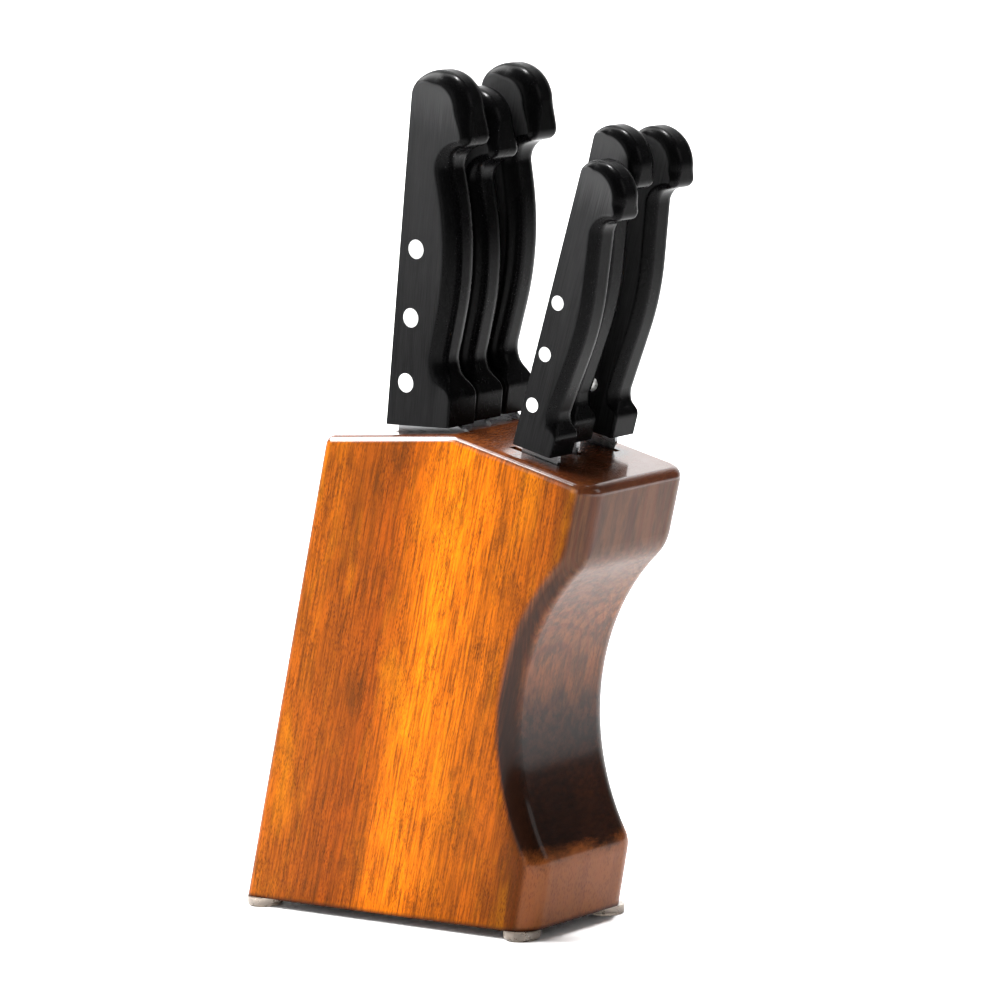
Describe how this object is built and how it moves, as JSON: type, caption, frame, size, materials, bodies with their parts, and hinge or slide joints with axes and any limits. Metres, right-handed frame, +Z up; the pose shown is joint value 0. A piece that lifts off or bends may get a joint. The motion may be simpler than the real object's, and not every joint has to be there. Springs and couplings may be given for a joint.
{
  "type": "knife block with knives",
  "caption": "Upright laminated wood knife block with a scooped front and small round pads, holding large and small kitchen knives with dark riveted handles that lift out of narrow slots.",
  "frame": {"origin": "on the surface the feet stand on, under the centre of the whole object's box, knives included", "axes": "+X across the block from its near cheek to its far cheek, -Y towards the scooped front and the small knives, +Z up"},
  "size_m": [0.0656, 0.1921, 0.3236],
  "materials": {
    "board_wood": "stained and varnished, satin to gloss",
    "spacer_wood": "stained and varnished, satin",
    "foot_rubber": "soft satin",
    "handle_plastic": "brushed matte cheeks, polished edges",
    "blade_steel": "fine brushed",
    "rivet_metal": "flush, polished"
  },
  "bodies": {
    "block": {"board_near": "board_wood", "board_mid_near": "board_wood", "board_mid_far": "board_wood", "board_far": "board_wood", "spacer_near_rear": "spacer_wood", "spacer_near_base": "spacer_wood", "spacer_near_middle": "spacer_wood", "spacer_near_front": "spacer_wood", "spacer_mid_rear": "spacer_wood", "spacer_mid_base": "spacer_wood", "spacer_mid_middle": "spacer_wood", "spacer_mid_front": "spacer_wood", "spacer_far_rear": "spacer_wood", "spacer_far_base": "spacer_wood", "spacer_far_middle": "spacer_wood", "spacer_far_front": "spacer_wood", "feet": "foot_rubber"},
    "chef_knife": {"chef_knife_handle": "handle_plastic", "chef_knife_blade": "blade_steel", "chef_knife_rivets": "rivet_metal"},
    "carving_knife": {"carving_knife_handle": "handle_plastic", "carving_knife_blade": "blade_steel", "carving_knife_rivets": "rivet_metal"},
    "bread_knife": {"bread_knife_handle": "handle_plastic", "bread_knife_blade": "blade_steel", "bread_knife_rivets": "rivet_metal"},
    "paring_knife": {"paring_knife_handle": "handle_plastic", "paring_knife_blade": "blade_steel", "paring_knife_rivets": "rivet_metal"},
    "utility_knife": {"utility_knife_handle": "handle_plastic", "utility_knife_blade": "blade_steel", "utility_knife_rivets": "rivet_metal"},
    "boning_knife": {"boning_knife_handle": "handle_plastic", "boning_knife_blade": "blade_steel", "boning_knife_rivets": "rivet_metal"}
  },
  "joints": [
    {"name": "chef_knife_slide", "type": "slide", "parent": "block", "child": "chef_knife", "axis": [0, -0.1504, 0.9886], "range_m": [0, 0.188]},
    {"name": "carving_knife_slide", "type": "slide", "parent": "block", "child": "carving_knife", "axis": [0, -0.1599, 0.9871], "range_m": [0, 0.184]},
    {"name": "bread_knife_slide", "type": "slide", "parent": "block", "child": "bread_knife", "axis": [0, -0.1977, 0.9803], "range_m": [0, 0.19]},
    {"name": "paring_knife_slide", "type": "slide", "parent": "block", "child": "paring_knife", "axis": [0, -0.3379, 0.9412], "range_m": [0, 0.1]},
    {"name": "utility_knife_slide", "type": "slide", "parent": "block", "child": "utility_knife", "axis": [0, -0.3024, 0.9532], "range_m": [0, 0.124]},
    {"name": "boning_knife_slide", "type": "slide", "parent": "block", "child": "boning_knife", "axis": [0, -0.2974, 0.9548], "range_m": [0, 0.14]}
  ]
}
